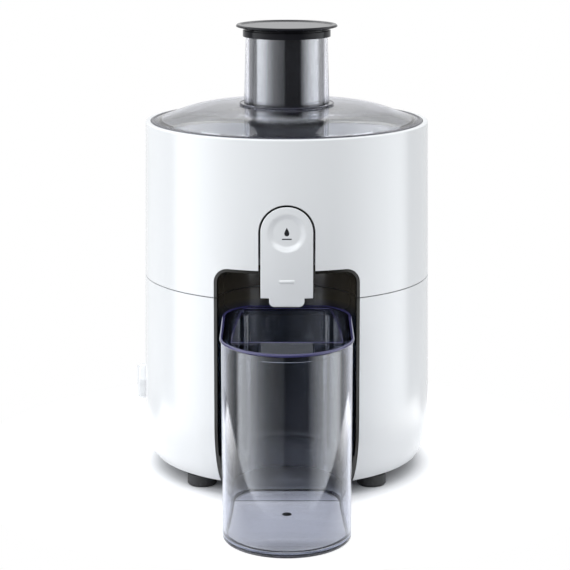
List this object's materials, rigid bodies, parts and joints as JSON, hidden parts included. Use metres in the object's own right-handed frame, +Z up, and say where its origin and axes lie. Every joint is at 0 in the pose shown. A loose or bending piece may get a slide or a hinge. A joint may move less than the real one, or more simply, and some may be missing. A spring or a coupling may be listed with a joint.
{
  "type": "centrifugal juicer",
  "caption": "Round white centrifugal juicer with a clear domed lid, feed chute and pusher, rocking spout cover and a clear jug that stands in a dark bay.",
  "frame": {"origin": "point on the counter under the motor axis", "axes": "+Z up along the motor axis; -Y towards the front, where the jug stands; +X to the right seen from the front"},
  "size_m": [0.2374, 0.3595, 0.3566],
  "materials": {
    "housing_white": "gloss",
    "bay_dark": "satin",
    "clear_smoke": "polished clear",
    "clear_blue": "polished clear",
    "pusher_black": "gloss",
    "bowl_plastic": "satin",
    "structure_plastic": "moulded",
    "insulator": "moulded",
    "rubber_dark": "matt",
    "seal_rubber": "matt",
    "steel": "stamped",
    "screw_steel": "plated",
    "lamination": "varnished",
    "copper": "enamelled",
    "carbon": "pressed",
    "bracket_metal": "cast"
  },
  "bodies": {
    "base": {"base_shell": "housing_white", "base_plate": "structure_plastic", "base_screws": "screw_steel", "bay_liner": "bay_dark", "base_deck": "structure_plastic", "shaft_seal": "seal_rubber", "motor_upper_bracket": "bracket_metal", "motor_lower_bracket": "bracket_metal", "stator_core": "lamination", "field_coils": "copper", "brush_holders": "insulator", "brushes": "carbon", "brush_springs": "screw_steel", "bearing_upper": "steel", "bearing_lower": "steel", "motor_bolts": "screw_steel", "motor_dampers": "rubber_dark", "motor_mount_screws": "screw_steel", "switch_body": "insulator", "cord_gland": "rubber_dark", "cord_clamp": "structure_plastic", "terminal_block": "insulator", "interlock_switch": "insulator", "suppressor": "insulator", "foot_front_left": "rubber_dark", "foot_front_right": "rubber_dark", "foot_back_left": "rubber_dark", "foot_back_right": "rubber_dark"},
    "rotor": {"motor_shaft": "steel", "armature_core": "lamination", "armature_windings": "copper", "commutator": "copper", "cooling_fan": "structure_plastic", "drive_coupling": "insulator"},
    "upper": {"upper_shell": "housing_white", "bowl_carrier": "structure_plastic", "bay_hood": "bay_dark", "bowl_side": "bowl_plastic", "bowl_floor": "bowl_plastic", "juice_spout": "bowl_plastic", "pulp_outer_side": "bowl_plastic", "pulp_inner_side": "bowl_plastic", "pulp_floor": "bowl_plastic"},
    "filter": {"filter_hub": "bowl_plastic", "grater_disc": "steel", "sieve": "steel", "filter_rim": "bowl_plastic"},
    "cover": {"spout_cover": "housing_white", "spout_stopper": "seal_rubber"},
    "lid_seal": {"lid_gasket": "seal_rubber"},
    "lid": {"lid": "clear_smoke"},
    "plunger": {"plunger_body": "pusher_black", "plunger_cap": "pusher_black"},
    "interlock": {"interlock_rod": "insulator", "interlock_spring": "screw_steel"},
    "knob": {"switch_knob": "housing_white"},
    "jug": {"jug": "clear_blue", "jug_lid": "clear_blue"}
  },
  "joints": [
    {"name": "rotor_spin", "type": "hinge", "parent": "base", "child": "rotor", "pos_m": [0, 0, 0.08], "axis": [0, 0, 1], "continuous": true},
    {"name": "upper_lift", "type": "slide", "parent": "base", "child": "upper", "axis": [0, 0, 1], "range_m": [0, 0.15]},
    {"name": "filter_spin", "type": "hinge", "parent": "upper", "child": "filter", "pos_m": [0, 0, 0.21], "axis": [0, 0, 1], "continuous": true},
    {"name": "cover_rock", "type": "hinge", "parent": "upper", "child": "cover", "pos_m": [0, -0.103, 0.193], "axis": [-1, 0, 0], "range_deg": [0, 10]},
    {"name": "lid_lift", "type": "slide", "parent": "upper", "child": "lid_seal", "axis": [0, 0, 1], "range_m": [0, 0.15]},
    {"name": "lid_turn", "type": "hinge", "parent": "lid_seal", "child": "lid", "pos_m": [0, 0, 0.28], "axis": [0, 0, 1], "range_deg": [0, 22]},
    {"name": "plunger_slide", "type": "slide", "parent": "lid", "child": "plunger", "axis": [0, 0, 1], "range_m": [0, 0.14]},
    {"name": "interlock_push", "type": "slide", "parent": "upper", "child": "interlock", "axis": [0, 0, 1], "range_m": [-0.003, 0], "stiffness_N_per_m": 120, "springref_m": 0.003, "deforming": ["interlock_spring"]},
    {"name": "knob_turn", "type": "hinge", "parent": "base", "child": "knob", "pos_m": [-0.115, 0, 0.066], "axis": [-1, 0, 0], "range_deg": [0, 80]},
    {"name": "jug_slide", "type": "slide", "parent": "base", "child": "jug", "axis": [0, -1, 0], "range_m": [-0.02, 0.15]}
  ],
  "couplings": [
    {"joint": "filter_spin", "follows": "rotor_spin", "ratio": 1},
    {"joint": "interlock_push", "follows": "lid_turn", "m_per_rad": -0.00781}
  ]
}
